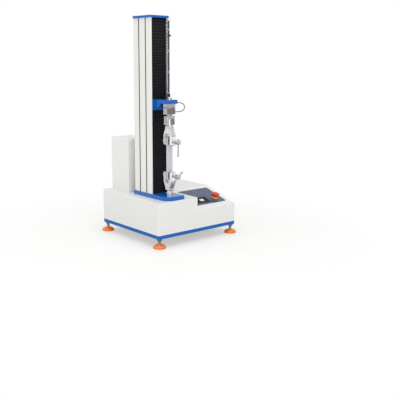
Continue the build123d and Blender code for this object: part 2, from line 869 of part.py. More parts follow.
# Grips, drawn hanging from the load axis with the jaw face at height 0 and the front at -Y
def yoke(tang_l, pin_at):
    leg = yoke_leg_span / 2
    neck = yoke_neck_span / 2
    shoulder = yoke_h - yoke_neck_h
    points = [(-leg, 0), (leg, 0), (leg, yoke_leg_h), (neck, shoulder), (neck, yoke_h),
              (-neck, yoke_h), (-neck, shoulder), (-leg, yoke_leg_h)]
    outline = FilletPolyline(*points, radius=[5, 5, 16, 12, 5, 5, 12, 16], close=True)
    x0 = -yoke_w / 2
    body = extrude(Plane.YZ.offset(x0) * make_face(outline), yoke_w)
    body = fillet(body.edges().group_by(Axis.X)[0] + body.edges().group_by(Axis.X)[-1], yoke_edge_r)
    window = RectangleRounded(yoke_window_w, 2 * yoke_window_h, 14)
    body -= extrude(Plane.YZ.offset(x0 - 1) * window, yoke_w + 2)
    body -= bar_y(clamp_d + 2 * run_fit, -leg - 1, 0, 0, clamp_h)
    body -= bar_y(clamp_d + 2 * snug, 0, leg + 1, 0, clamp_h)
    tang = bar_z(tang_d, yoke_h - 1, yoke_h + tang_l, 0, 0)
    tang &= brick(-tang_flat / 2, tang_flat / 2, -tang_d, tang_d, yoke_h - 1, yoke_h + tang_l)
    body += tang
    return body - bar_x(pin_d + 2 * snug, -tang_d, tang_d, 0, yoke_h + pin_at)


def jaw_block(y0, y1):
    block = brick(-jaw_w / 2, jaw_w / 2, y0, y1, jaw_inset, jaw_inset + jaw_h)
    return fillet(block.edges().filter_by(Axis.Y), 2)


def front_jaw():
    back = -strip_t / 2 - jaw_t
    socket = bar_y(clamp_tip_d + 2 * run_fit, back - 1, back + jaw_socket, 0, clamp_h)
    return jaw_block(back, -strip_t / 2) - socket


def back_jaw():
    return jaw_block(strip_t / 2, yoke_window_w / 2)


def clamp_screw(tilt):
    back = -strip_t / 2 - jaw_t
    thread = bar_y(clamp_d, -clamp_head_from, back - 0.3, 0, clamp_h)
    tip = bar_y(clamp_tip_d, back - 1, back + jaw_socket - 0.3, 0, clamp_h)
    head = bar_y(clamp_head_d, -grip_reach, -clamp_head_from, 0, clamp_h)
    head = chamfer(head.edges(), 1.6)
    collar = bar_y(clamp_collar_d, -clamp_head_from - 1, -clamp_head_from + clamp_collar_l, 0, clamp_h)
    screw = thread + tip + head + collar
    hole = bar_z(bar_d + 2 * run_fit, -clamp_head_d, clamp_head_d, 0, 0)
    return screw - Pos(0, bar_from_tip - grip_reach, clamp_h) * Rot(0, tilt, 0) * hole


def tommy_bar(tilt, shift):
    bar = bar_z(bar_d, -bar_l / 2 + 1, bar_l / 2 - 1, 0, 0)
    for end in (-1, 1):
        knob = Pos(0, 0, end * (bar_l - bar_end_l) / 2) * Cylinder(bar_end_d / 2, bar_end_l)
        bar += chamfer(knob.edges(), 1.4)
    return Pos(0, bar_from_tip - grip_reach, clamp_h) * Rot(0, tilt, 0) * Pos(0, 0, shift) * bar


def back_screw():
    leg = yoke_leg_span / 2
    shank = bar_y(clamp_d, yoke_window_w / 2, leg + 1, 0, clamp_h)
    head = bar_y(back_head_d, leg, leg + back_head_l, 0, clamp_h)
    head = chamfer(head.edges(), 1.5)
    key = Plane(origin=(0, leg + back_head_l + 1, clamp_h), x_dir=(1, 0, 0), z_dir=(0, -1, 0))
    return shank + head - extrude(key * RegularPolygon(back_key_af / 2, 6, major_radius=False), 6)


def hung(shape):
    return Pos(axis_x, axis_y, z_upper_face) * shape


def stood(shape):
    return Pos(axis_x, axis_y, z_lower_face) * mirror(shape, about=Plane.XY)


def base_adapter():
    sleeve = bar_z(adapter_d, z_table, z_table + adapter_h, axis_x, axis_y)
    sleeve = chamfer(sleeve.edges().group_by(Axis.Z)[-1], 1.5)
    sleeve -= bar_z(tang_d + 2 * snug, z_table - 1, z_table + adapter_h + 1, axis_x, axis_y)
    return sleeve - bar_x(pin_d + 2 * snug, axis_x - adapter_d, axis_x + adapter_d, axis_y, z_lower_pin)


def adapter_pin():
    pin = bar_x(pin_d, axis_x - adapter_d / 2 - 5, axis_x + adapter_d / 2 + 3, axis_y, z_lower_pin)
    return chamfer(pin.edges(), 1)


def test_strip():
    z0 = z_lower_face - strip_grip
    z1 = z_upper_face + strip_grip
    half = strip_w / 2
    return brick(axis_x - half, axis_x + half, axis_y - strip_t / 2, axis_y + strip_t / 2, z0, z1)


# Limit rod and its stops
def limit_rod():
    rod = bar_z(rod_d, z_table + rod_foot_gap, z_column_top - rod_head_gap, rod_x, rod_y)
    return chamfer(rod.edges(), 0.8)


def rod_holder(half_w, half_d, z0, z1, bore):
    side = axis_x + column_w / 2
    front = brick(rod_x - half_w, side + bracket_t, rod_y - half_d, column_y, z0, z1)
    front = fillet(front.edges().filter_by(Axis.Z).sort_by(Axis.Y)[:2], 2)
    flank = brick(side, side + bracket_t, column_y - 1, column_y + bracket_run, z0, z1)
    return front + flank - bar_z(bore, z0 - 1, z1 + 1, rod_x, rod_y)


def rod_guides():
    bore = rod_d + 2 * run_fit
    starts = (z_column_top - guide_h, z_table + switch_h + 24)
    return group(*[rod_holder(guide_w / 2, guide_w / 2, z, z + guide_h, bore) for z in starts])


def switch_box():
    z0 = z_table + 2
    return rod_holder(switch_w / 2, switch_d / 2, z0, z0 + switch_h, rod_d + 1)


def limit_stop(z):
    collar = bar_z(stop_d, z, z + stop_h, rod_x, rod_y)
    collar = chamfer(collar.edges(), 1)
    collar -= bar_z(rod_d + 2 * run_fit, z - 1, z + stop_h + 1, rod_x, rod_y)
    return collar - bar_x(4, rod_x + rod_d / 2 - 1, rod_x + stop_d, rod_y, z + stop_h / 2)


def stop_thumb(z):
    zc = z + stop_h / 2
    shank = bar_x(4 - 2 * run_fit, rod_x + rod_d / 2 + 0.3, rod_x + stop_d / 2 + 2, rod_y, zc)
    knob = bar_x(thumb_d, rod_x + stop_d / 2 + 1, rod_x + stop_d / 2 + 1 + thumb_l, rod_y, zc)
    knob = chamfer(knob.edges(), 0.8)
    for angle in range(0, 360, 60):
        flute = Rot(angle, 0, 0) * Pos(0, thumb_d / 2 + 0.2, 0) * Box(thumb_l * 4, 1, 1.4)
        knob -= Pos(rod_x, rod_y, zc) * flute
    return shank + knob


def trip_block():
    z0 = z_arm_top
    y1 = column_y - 1
    plate = brick(axis_x + arm_w / 2 - 14, rod_x + trip_bush_d / 2, y1 - trip_plate_w, y1, z0,
                  z0 + trip_plate_t)
    bush = bar_z(trip_bush_d, z0, z0 + trip_bush_h, rod_x, rod_y)
    return plate + bush - bar_z(rod_d + 1, z0 - 1, z0 + trip_bush_h + 1, rod_x, rod_y)


# Console parts
def control_panel():
    plane = console_plane(panel_x, panel_front_gap)
    sheet = plane * Pos(0, panel_l / 2, 0) * RectangleRounded(panel_w, panel_l, panel_r)
    panel = extrude(sheet, panel_t)
    hole = console_plane(estop_x, estop_from_front) * Cylinder(estop_barrel_d / 2 + snug, 6 * panel_t)
    return panel - hole


def display_window():
    x = panel_x - panel_w / 2 + display_from_left + display_w / 2
    plane = console_plane(x, panel_front_gap)
    up = display_from_front + display_h / 2
    sheet = plane * Pos(0, up, panel_t) * RectangleRounded(display_w, display_h, 3)
    return extrude(sheet, display_t)


def estop_base():
    r = estop_collar_d / 2
    stem = estop_stem_d / 2 + run_fit
    barrel = estop_barrel_d / 2
    low = -estop_barrel_l
    recess_r = estop_skirt_d / 2 + 0.5
    floor = estop_collar_h - estop_recess
    outline = [
        (stem, low), (barrel, low), (barrel, 0), (r, 0), (r - 0.5, estop_collar_h),
        (recess_r, estop_collar_h), (recess_r, floor), (stem, floor),
    ]
    ring = revolve(Plane.XZ * make_face(Polyline(*outline, close=True)), Axis.Z)
    half = estop_block_w / 2
    block = rounded_plate(-half, half, -half, half, low - estop_block_h, low, 3)
    block -= bar_z(estop_stem_d + 4, low - 10, low + 1, 0, 0)
    return estop_plane * Pos(0, 0, panel_t) * (ring + block)


def estop_head():
    base = estop_collar_h + estop_gap
    skirt_low = base - estop_recess
    r = estop_head_d / 2
    skirt_r = estop_skirt_d / 2
    stem = estop_stem_d / 2
    crown = r - 2.5
    low = 2 - estop_barrel_l
    outline = [
        Line((0, low), (stem, low)),
        Line((stem, low), (stem, skirt_low)),
        Line((stem, skirt_low), (skirt_r, skirt_low)),
        Line((skirt_r, skirt_low), (skirt_r, base)),
        Line((skirt_r, base), (r - 1, base)),
        Line((r - 1, base), (r, base + 1.5)),
        Line((r, base + 1.5), (r, base + 8)),
        Line((r, base + 8), (r - 0.8, base + 10)),
        Line((r - 0.8, base + 10), (crown, base + 11.5)),
        dome_arc(crown, base + 11.5, base + estop_head_h),
        Line((0, base + estop_head_h), (0, low)),
    ]
    return estop_plane * Pos(0, 0, panel_t) * revolve(Plane.XZ * make_face(outline), Axis.Z)


# Rear panel and its connectors
def rear_panel():
    x0, x1, z0, z1 = rear_panel_box
    panel = brick(x0, x1, y_back, y_back + rear_panel_t, z0, z1)
    panel = fillet(panel.edges().filter_by(Axis.Y), 4)
    for i in range(vent_count):
        x = x0 + 28 + i * vent_pitch
        panel -= brick(x, x + vent_w, y_back - 1, y_back + 3, z0 + 26, z0 + 26 + vent_l)
    xc, zc = inlet_place
    panel -= brick(xc - inlet_w / 2 + 2, xc + inlet_w / 2 - 2, y_back - 1, y_back + 3,
                   zc - inlet_h / 2 + 2, zc + inlet_h / 2 - 2)
    xc, zc = rocker_place
    panel -= brick(xc - rocker_w / 2 - snug, xc + rocker_w / 2 + snug, y_back - 1, y_back + 3,
                   zc - rocker_h / 2 - snug, zc + rocker_h / 2 + snug)
    for x, z in rear_screw_places:
        panel -= bar_y(fastener_d / 2, y_back - 1, y_back + 3, x, z)
    return panel


def rear_screws():
    screw = Rot(-90, 0, 0) * cap_screw(fastener_d, rear_panel_t)
    return group(*[Pos(x, y_back + rear_panel_t, z) * screw for x, z in rear_screw_places])


def power_inlet():
    xc, zc = inlet_place
    y1 = y_back + rear_panel_t
    flange = brick(xc - inlet_w / 2, xc + inlet_w / 2, y1, y1 + inlet_lip,
                   zc - inlet_h / 2, zc + inlet_h / 2)
    flange = fillet(flange.edges().filter_by(Axis.Y), 3)
    body = brick(xc - inlet_w / 2 + 2 + snug, xc + inlet_w / 2 - 2 - snug, y1 - inlet_d, y1,
                 zc - inlet_h / 2 + 2 + snug, zc + inlet_h / 2 - 2 - snug)
    floor = y1 + inlet_lip - inlet_cavity_d
    half = inlet_cavity_w / 2
    outline = [
        (xc - half, zc - inlet_cavity_h / 2), (xc + half, zc - inlet_cavity_h / 2),
        (xc + half, zc + 2), (xc + half - 6, zc + inlet_cavity_h / 2),
        (xc - half + 6, zc + inlet_cavity_h / 2), (xc - half, zc + 2),
    ]
    socket = flange + body - prism_y(outline, floor, y1 + inlet_lip + 1)
    for dx, dz in ((-7, -3), (7, -3), (0, 3)):
        socket += brick(xc + dx - 1, xc + dx + 1, floor - 1, floor + inlet_pin_l, zc + dz - 2, zc + dz + 2)
    return socket


def switch_frame():
    xc, zc = rocker_place
    y1 = y_back + rear_panel_t
    bezel = brick(xc - rocker_w / 2 - 2, xc + rocker_w / 2 + 2, y1, y1 + 1.5,
                  zc - rocker_h / 2 - 2, zc + rocker_h / 2 + 2)
    body = brick(xc - rocker_w / 2, xc + rocker_w / 2, y1 - rocker_d, y1,
                 zc - rocker_h / 2, zc + rocker_h / 2)
    well = brick(xc - rocker_w / 2 + 2, xc + rocker_w / 2 - 2, y1 - 10, y1 + 2,
                 zc - rocker_h / 2 + 2, zc + rocker_h / 2 - 2)
    pivot = bar_x(2.4, xc - rocker_w / 2 + 1, xc + rocker_w / 2 - 1, y1 - 4, zc)
    return bezel + body - well + pivot


def power_rocker():
    xc, zc = rocker_place
    y1 = y_back + rear_panel_t
    half = rocker_h / 2 - 3.8
    wide = rocker_w / 2 - 2.4
    outline = [
        (y1 - 7, zc - 2), (y1 - 2, zc - half), (y1 + 3.2, zc - half), (y1 + 1.2, zc),
        (y1 + 3.2, zc + half), (y1 - 2, zc + half), (y1 - 7, zc + 2),
    ]
    rocker = prism_x(outline, xc - wide, xc + wide)
    rocker -= bar_x(2.4 + 2 * run_fit, xc - rocker_w, xc + rocker_w, y1 - 4, zc)
    return Pos(0, y1 - 4, zc) * Rot(rocker_tilt, 0, 0) * Pos(0, 4 - y1, -zc) * rocker


def data_port():
    xc, zc = port_place
    y1 = y_back + rear_panel_t
    plate = brick(xc - port_w / 2, xc + port_w / 2, y1, y1 + 1, zc - port_h / 2, zc + port_h / 2)
    half = port_w * 0.27
    outline = [(xc - half, zc + 4), (xc + half, zc + 4),
               (xc + half - 1.4, zc - 4), (xc - half + 1.4, zc - 4)]
    shell = prism_y(outline, y1, y1 + port_d - 2)
    body = plate + shell
    for side in (-1, 1):
        body += extrude(Plane(origin=(xc + side * port_w * 0.4, y1, zc), x_dir=(1, 0, 0), z_dir=(0, 1, 0))
                        * RegularPolygon(2.6, 6), 5)
    return body


# Values that need the helpers above
stud_socket = 10.0
cell_bolt_l = 12.0
estop_plane = console_plane(estop_x, estop_from_front)
pulley_z = z_deck - casing_wall - pedestal_top_t - pulley_drop - pulley_h
z_upper_pin = z_upper_yoke_top + upper_pin_at
z_lower_pin = z_table + adapter_h - lower_pin_at
upper_stop_z = z_column_top - upper_stop_drop
lower_stop_z = z_table + lower_stop_rise
upper_bar_shift = clamp_head_d / 2 + bar_end_l - bar_l / 2
top_screw_places = [
    (axis_x + sx * (column_w / 2 - column_wall / 2), column_y + y)
    for sx in (-1, 1)
    for y in (30, column_d - 12)
]
rear_panel_box = (
    x_right - rear_panel_right - rear_panel_w, x_right - rear_panel_right,
    z_rim + rear_panel_up, z_rim + rear_panel_up + rear_panel_h,
)
rear_screw_places = [
    (x, z)
    for x in (rear_panel_box[0] + 4, (rear_panel_box[0] + rear_panel_box[1]) / 2, rear_panel_box[1] - 4)
    for z in (rear_panel_box[2] + 4, rear_panel_box[3] - 4)
]
inlet_place = (rear_panel_box[1] - 40, rear_panel_box[2] + 40)
rocker_place = (rear_panel_box[1] - 40, rear_panel_box[2] + 80)
port_place = (rear_panel_box[1] - 95, rear_panel_box[2] + 50)

sub_parts = {
    "base_tray": base_tray(),
    "base_casing": base_casing(),
    "foot_pads": at_feet(foot_pad()),
    "foot_studs": at_feet(foot_stud()),
    "pedestal_frame": pedestal_frame(),
    "work_table": work_table(),
    "column": column_profile(),
    "top_plate": top_plate(),
    "fasteners": group(top_plate_screws(), rear_screws(), at_feet(foot_nut())),
    "guide_rails": guide_rails(),
    "rail_blocks": rail_blocks(),
    "ball_screw": ball_screw(),
    "screw_bearings": group(bearing_block(z_table), bearing_block(z_column_top - bearing_h)),
    "ball_nut": ball_nut(),
    "screw_pulley": toothed_pulley(screw_teeth, journal_d + 2 * snug, axis_x, screw_y),
    "motor_pulley": toothed_pulley(motor_teeth, motor_shaft_d, axis_x, motor_y) + motor_shaft(),
    "drive_belt": drive_belt(),
    "servo_motor": servo_motor(),
    "electronics": group(drive_unit(), power_unit()),
    "rear_cover": rear_cover(),
    "bellows_upper": bellows(z_arm_top, z_column_top, upper_fold_pitch),
    "bellows_lower": bellows(z_table, z_carriage, lower_fold_pitch),
    "carriage": carriage(),
    "crosshead_arm": crosshead_arm(),
    "arm_bolt": arm_bolt(),
    "load_cell": load_cell(),
    "cell_cover": cell_cover(),
    "cell_cable": cell_cable(),
    "cable_glands": cable_glands(),
    "lock_rings": group(lock_nut(), lock_ring()),
    "clevis": clevis(),
    "clevis_pin": clevis_pin(),
    "upper_yoke": hung(yoke(upper_tang_l, upper_pin_at)),
    "upper_front_jaw": hung(front_jaw()),
    "upper_back_jaw": hung(back_jaw()),
    "upper_screw": hung(clamp_screw(0)),
    "upper_back_screw": hung(back_screw()),
    "upper_bar": hung(tommy_bar(0, upper_bar_shift)),
    "lower_yoke": stood(yoke(lower_tang_l, lower_pin_at)),
    "lower_front_jaw": stood(front_jaw()),
    "lower_back_jaw": stood(back_jaw()),
    "lower_screw": stood(clamp_screw(-lower_bar_tilt)),
    "lower_back_screw": stood(back_screw()),
    "lower_bar": stood(tommy_bar(-lower_bar_tilt, -lower_bar_shift)),
    "base_adapter": base_adapter(),
    "adapter_pin": adapter_pin(),
    "test_strip": test_strip(),
    "limit_rod": limit_rod(),
    "rod_guides": rod_guides(),
    "switch_box": switch_box(),
    "upper_stop": limit_stop(upper_stop_z) + stop_thumb(upper_stop_z),
    "lower_stop": limit_stop(lower_stop_z) + stop_thumb(lower_stop_z),
    "trip_block": trip_block(),
    "control_panel": control_panel(),
    "display_window": display_window(),
    "estop_base": estop_base(),
    "estop_head": estop_head(),
    "rear_panel": rear_panel(),
    "rear_sockets": group(power_inlet(), switch_frame(), data_port()),
    "power_rocker": power_rocker(),
}

os.makedirs("parts", exist_ok=True)
for name, shape in sub_parts.items():
    export_step(shape, f"parts/{name}.step")
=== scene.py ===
# %% [markdown]
# # A universal testing machine, dressed for the studio
# The machine pulls or squeezes a sample and measures the force. A white column carries a blue
# crosshead that a ball screw drives up and down behind black bellows. The sample is held between
# two screw grips, and a load cell above the upper grip feels the pull.
# The solids come ready made from the CAD model. This lesson gives each of them its finish, and
# makes in Blender what a solid can't show well: pleated cloth, a thin cable, a soft strip and
# screw threads.

# %% Load the frame
import math
import bmesh
import bpy
from mathutils import Matrix, Vector


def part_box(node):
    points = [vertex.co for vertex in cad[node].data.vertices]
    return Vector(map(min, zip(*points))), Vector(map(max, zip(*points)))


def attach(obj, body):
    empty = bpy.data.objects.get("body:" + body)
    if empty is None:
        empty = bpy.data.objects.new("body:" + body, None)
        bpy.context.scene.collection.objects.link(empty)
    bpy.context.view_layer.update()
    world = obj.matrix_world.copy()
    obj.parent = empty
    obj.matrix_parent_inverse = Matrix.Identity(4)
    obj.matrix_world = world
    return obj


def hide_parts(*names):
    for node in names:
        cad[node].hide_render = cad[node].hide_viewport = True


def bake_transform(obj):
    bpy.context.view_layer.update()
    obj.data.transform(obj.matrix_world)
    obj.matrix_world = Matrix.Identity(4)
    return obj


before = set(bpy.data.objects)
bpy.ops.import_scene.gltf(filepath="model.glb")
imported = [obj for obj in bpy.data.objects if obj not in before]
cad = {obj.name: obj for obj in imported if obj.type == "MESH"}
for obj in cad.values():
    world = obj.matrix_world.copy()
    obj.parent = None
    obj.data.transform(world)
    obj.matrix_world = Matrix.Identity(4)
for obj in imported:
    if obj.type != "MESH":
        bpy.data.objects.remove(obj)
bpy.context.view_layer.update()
MM = 0.001

# %% [markdown]
# ## The camera
# A picture of a machine gives away where the photographer stood: the edges that run away from us
# close in on one another. The place, turn and focal length here come from fitting the machine's
# own edges. The camera's axes are worked out from a yaw, a pitch and a small roll in degrees,
# because Euler angles in three steps are easy to mix up.

# %% Camera
CAMERA_PLACE = (-2.0647, -2.6079, 0.8811)
CAMERA_YAW, CAMERA_PITCH, CAMERA_ROLL = 41.17, 12.06, 0.44
FOCAL_LENGTH = 57.93
SENSOR_WIDTH = 36


def add_object(name, data):
    added = bpy.data.objects.new(name, data)
    bpy.context.scene.collection.objects.link(added)
    return added


def aim(place, yaw, pitch, roll):
    yaw, pitch, roll = (math.radians(angle) for angle in (yaw, pitch, roll))
    ahead = Vector((
        math.sin(yaw) * math.cos(pitch), math.cos(yaw) * math.cos(pitch), -math.sin(pitch),
    ))
    right = Vector((math.cos(yaw), -math.sin(yaw), 0))
    up = right.cross(ahead)
    level_right = math.cos(roll) * right + math.sin(roll) * up
    level_up = math.cos(roll) * up - math.sin(roll) * right
    turned = Matrix((level_right, level_up, -ahead)).transposed().to_4x4()
    return Matrix.Translation(place) @ turned


lens = bpy.data.cameras.new("photograph_lens")
lens.lens = FOCAL_LENGTH
lens.sensor_width = SENSOR_WIDTH
camera = add_object("photograph_camera", lens)
camera.matrix_world = aim(Vector(CAMERA_PLACE), CAMERA_YAW, CAMERA_PITCH, CAMERA_ROLL)
bpy.context.scene.camera = camera
print("camera at", [round(c, 3) for c in camera.matrix_world.translation])

# %% [markdown]
# ## The load cell's cable
# A thin screened cable brings the load cell's signal to the arm above it. It leaves the arm,
# swings out in one loop and comes back into the cell. A curve with a round bevel is the natural
# way to make it. The points are only the corners that a smooth spline leans towards, so the loop
# stays as soft as the real one, where a polyline through them would look like bent wire. They are
# millimetres across from the load axis and up from the arm's underside.
# The tube's radius is kept on the points and the bevel is one metre deep, because Blender pads a
# curve's box by the points' radius.

# %% Cable
LOAD_AXIS_X = -142.5
ARM_UNDERSIDE = 688.5
CABLE_Y = -188.0
CABLE_DIAMETER = 0.0038
cable_start = (-107.5, CABLE_Y, 693.1)
cable_end = (-111.0, CABLE_Y, 648.5)
cable_turns = [
    (46.0, 4.4), (60.5, 2.9), (75.0, -0.6), (86.0, -8.0), (90.5, -19.0),
    (86.5, -30.0), (76.0, -37.0), (61.5, -39.6), (46.0, -40.0),
]


def smooth_cord(name, corners, diameter):
    curve = bpy.data.curves.new(name, "CURVE")
    curve.dimensions = "3D"
    spline = curve.splines.new("NURBS")
    spline.points.add(len(corners) - 1)
    for point, corner in zip(spline.points, corners):
        point.co = (corner[0] * MM, corner[1] * MM, corner[2] * MM, 1)
        point.radius = diameter / 2
    spline.order_u = 3
    spline.use_endpoint_u = True
    curve.resolution_u = 12
    curve.bevel_depth = 1.0
    curve.bevel_resolution = 5
    return add_object(name, curve)


middle_turns = [
    (LOAD_AXIS_X + across, CABLE_Y, ARM_UNDERSIDE + up) for across, up in cable_turns
]
cable = smooth_cord("signal_cable", [cable_start] + middle_turns + [cable_end], CABLE_DIAMETER)
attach(cable, "crosshead")
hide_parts("cell_cable")
print("cable corners", len(middle_turns) + 2)

# %% [markdown]
# ## Shader sums in plain Python
# A finish is a graph of nodes, and most of the graph is small sums: this noise times that mask,
# one minus the other. Written as nodes they hide what they do, so one class wraps a socket and
# makes `1 - mask` add the Math node by itself. Colours never go through the sums, because a Math
# node would turn them grey.

# %% Sums
class Shade:
    def __init__(self, graph, socket):
        self.graph = graph
        self.socket = socket

    def maths(self, operation, first, second=0.0):
        return self.graph.node("ShaderNodeMath", {"operation": operation}, {0: first, 1: second})

    def __add__(self, other):
        return self.maths("ADD", self, other)

    def __radd__(self, other):
        return self.maths("ADD", other, self)

    def __sub__(self, other):
        return self.maths("SUBTRACT", self, other)

    def __rsub__(self, other):
        return self.maths("SUBTRACT", other, self)

    def __mul__(self, other):
        return self.maths("MULTIPLY", self, other)

    def __rmul__(self, other):
        return self.maths("MULTIPLY", other, self)

    def __truediv__(self, other):
        return self.maths("DIVIDE", self, other)

    def __rtruediv__(self, other):
        return self.maths("DIVIDE", other, self)

    def __mod__(self, other):
        return self.maths("FLOORED_MODULO", self, other)

    def __rmod__(self, other):
        return self.maths("FLOORED_MODULO", other, self)

    def __abs__(self):
        return self.maths("ABSOLUTE", self)

    def __gt__(self, other):
        return self.maths("GREATER_THAN", self, other)

    def __lt__(self, other):
        return self.maths("LESS_THAN", self, other)

    def at_least(self, other):
        return self.maths("MAXIMUM", self, other)

    def ridges(self, pitch):
        return abs(self % pitch - pitch / 2) / (pitch / 2)


print("a Shade has", sum(map(callable, vars(Shade).values())), "methods")

# %% [markdown]
# ## One way to add any other node
# Noise, masks and mixes need nodes that are no sums. All of them come from one method, which sets
# the node's own settings first and its sockets after, because a setting can change the sockets. A
# graph knows its coordinates: a direction for the world, a place on the object for a finish.

# %% Graphs
class Graph:
    def __init__(self, tree, coordinates):
        self.tree = tree
        self.place = self.node("ShaderNodeTexCoord", output=coordinates)

    def node(self, kind, settings=None, inputs=None, output=0):
        node = self.tree.nodes.new(kind)
        for name, value in (settings or {}).items():
            setattr(node, name, value)
        for name, value in (inputs or {}).items():
            self.feed(node.inputs[name], value)
        return Shade(self, node.outputs[output])

    def feed(self, socket, value):
        if isinstance(value, Shade):
            self.tree.links.new(value.socket, socket)
        else:
            socket.default_value = value

    def axis(self, name):
        return self.node("ShaderNodeSeparateXYZ", {}, {0: self.place}, output=name)

    def between(self, value, low, high, start=0.0, end=1.0):
        inputs = {"Value": value, "From Min": low, "From Max": high, "To Min": start, "To Max": end}
        return self.node("ShaderNodeMapRange", {"interpolation_type": "SMOOTHSTEP"}, inputs)

    def ray(self, kind):
        return self.node("ShaderNodeLightPath", output=kind)

    def either(self, factor, first, second):
        return self.node("ShaderNodeMixShader", {}, {0: factor, 1: first, 2: second})


print("a Graph has", sum(map(callable, vars(Graph).values())), "methods")

# %% [markdown]
# ## A material while it is made
# A finish is the graph of one material. It paints the sockets of the surface shader by their
# names, stretches or scatters noise over the solid, and turns a height into relief. Colours are
# written as screen values from 0 to 255, and `tone` undoes the screen's curve for the shader.

# %% Finishes
class Finish(Graph):
    def __init__(self, name, **surface):
        self.material = bpy.data.materials.new(name)
        self.material.use_nodes = True
        super().__init__(self.material.node_tree, "Object")
        self.surface = self.tree.nodes["Principled BSDF"]
        self.paint(**surface)

    @staticmethod
    def label(socket):
        return socket.replace("_", " ").title().replace("Ior", "IOR")

    def paint(self, **values):
        for socket, value in values.items():
            self.feed(self.surface.inputs[self.label(socket)], value)

    def stretched(self, scale, turn=(0, 0, 0)):
        inputs = {"Vector": self.place, "Scale": scale, "Rotation": turn}
        return self.node("ShaderNodeMapping", {}, inputs)

    def noise(self, scale, detail, roughness=0.5, place=None):
        inputs = {"Vector": place or self.place, "Scale": scale, "Detail": detail,
                  "Roughness": roughness}
        return self.node("ShaderNodeTexNoise", {}, inputs)

    def mix(self, factor, first, second):
        inputs = {0: factor, 6: first, 7: second}
        return self.node("ShaderNodeMix", {"data_type": "RGBA"}, inputs, output=2)

    def relief(self, height, depth):
        inputs = {"Height": height, "Distance": depth, "Strength": 1.0}
        self.feed(self.surface.inputs["Normal"], self.node("ShaderNodeBump", {}, inputs))


def tone(red, green, blue):
    def linear(value):
        value = value / 255
        return value / 12.92 if value <= 0.04045 else ((value + 0.055) / 1.055) ** 2.4
    return (linear(red), linear(green), linear(blue), 1.0)


def dimmed(colour, share):
    return tuple(c * share for c in colour[:3]) + (1.0,)


finishes = {}


def keep(name, material):
    finishes[name] = material
    print("finish", name, "has", len(material.node_tree.nodes), "nodes")


print("a mid grey of 128 is", round(tone(128, 128, 128)[0], 3), "in the shader")

# %% [markdown]
# ## White powder coat
# Sheet metal housings are powder coated: the powder melts into a skin with a faint orange peel.
# A flat white would look like paper, so a very fine noise bends the light at about a millimetre,
# and a slow one shifts the tint by a hair, as a real batch of powder does.

# %% White paint
def white_paint():
    finish = Finish("white_powder_coat", ior=1.5, coat_weight=0.12, coat_roughness=0.25)
    cloud = finish.noise(5.0, detail=3.0)
    peel = finish.noise(950.0, detail=1.0)
    finish.paint(
        base_color=finish.mix(cloud, tone(227, 227, 226), tone(233, 233, 231)),
        roughness=0.38 + 0.08 * peel,
    )
    finish.relief(peel, depth=0.06 * MM)
    return finish.material


keep("white", white_paint())

# %% [markdown]
# ## Column extrusion
# The column is one aluminium extrusion in the same white. The die leaves faint lines along its
# length, which noise stretched a hundredfold along Z gives. The insides of the open accessory
# grooves in its sides are painted dark grey and rougher: painted shade of the slots. Inside the
# front channel the white is painted brighter, a painted light against the channel's shade, so the
# zigzag of the bellows shows against it. Groove and channel are told apart by how far a point lies
# behind the front and inside the sides.

# %% Column paint
GROOVE_LIP = 1.5 * MM
GROOVES_START, GROOVES_END = 36.5 * MM, 104.5 * MM
CHANNEL_WALL = 5 * MM
CHANNEL_DEPTH = 30 * MM


def column_paint():
    finish = Finish("column_white", ior=1.5, coat_weight=0.2, coat_roughness=0.2)
    drawn = finish.noise(260.0, detail=2.0, place=finish.stretched((1, 1, 0.01)))
    band = finish.noise(28.0, detail=2.0, place=finish.stretched((1, 1, 0.004)))
    low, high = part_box("column")
    half = (high.x - low.x) / 2
    aside = abs(finish.axis("X") - (low.x + high.x) / 2)
    behind = finish.axis("Y")
    grooves = (behind > low.y + GROOVES_START) * (behind < low.y + GROOVES_END)
    # painted shade: the insides of the open grooves are painted dark grey
    painted_shade_groove = (aside < half - GROOVE_LIP) * grooves
    # painted light: the inside of the front channel is painted near pure white
    painted_light_channel = (aside < half - CHANNEL_WALL) * (behind < low.y + CHANNEL_DEPTH)
    outer = finish.mix(band, tone(226, 226, 221), tone(235, 235, 231))
    # painted light: near pure white inside the front channel
    white = finish.mix(painted_light_channel, outer, tone(252, 252, 252))
    finish.paint(
        # painted shade: dark grey inside the grooves
        base_color=finish.mix(painted_shade_groove, white, tone(74, 66, 66)),
        roughness=0.32 + 0.1 * drawn + 0.2 * painted_shade_groove,
    )
    finish.relief(drawn, depth=0.05 * MM)
    return finish.material


keep("column", column_paint())

# %% [markdown]
# ## Blue enamel
# The trim, table and crosshead wear a glossy blue enamel. A thin clear coat over the colour gives
# the double reflection of lacquer: sharp from the coat, broad from the pigment below. The
# pigment's own shine is turned down, or the white studio would wash the blue out. A few hair
# scratches come from stretched noise cut off near its top. The tray's underside, which is only
# primed, is told apart by its height.

# %% Blue paint
PRIMED_HEIGHT = 0.4 * MM


def blue_paint():
    finish = Finish(
        "blue_enamel", ior=1.5, specular_ior_level=0.3, coat_weight=0.75, coat_roughness=0.05,
    )
    cloud = finish.noise(9.0, detail=3.0)
    peel = finish.noise(600.0, detail=1.0)
    enamel = finish.mix(cloud, tone(0, 93, 178), tone(4, 100, 187))
    patchy = finish.noise(170.0, detail=2.0, place=finish.stretched((1, 0.05, 1), turn=(0, 0, 0.6)))
    scratches = 0.3 * finish.between(patchy, 0.64, 0.74)
    scratched = finish.mix(scratches, enamel, tone(130, 165, 205))
    underside = finish.axis("Z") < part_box("base_tray")[0].z + PRIMED_HEIGHT
    finish.paint(
        base_color=finish.mix(underside, scratched, tone(150, 150, 146)),
        roughness=0.3 + 0.12 * peel + 0.2 * underside,
    )
    finish.relief(peel, depth=0.05 * MM)
    return finish.material


keep("blue", blue_paint())

# %% [markdown]
# ## Metals
# Chrome, satin nickel, ground steel and machined alloy differ in colour a little and in roughness
# a lot. One function makes them all: fine scratches run along a chosen direction, and a slow cloud
# stands for the film that hands and oil leave.

# %% Metals
METAL_SPREAD = 0.05


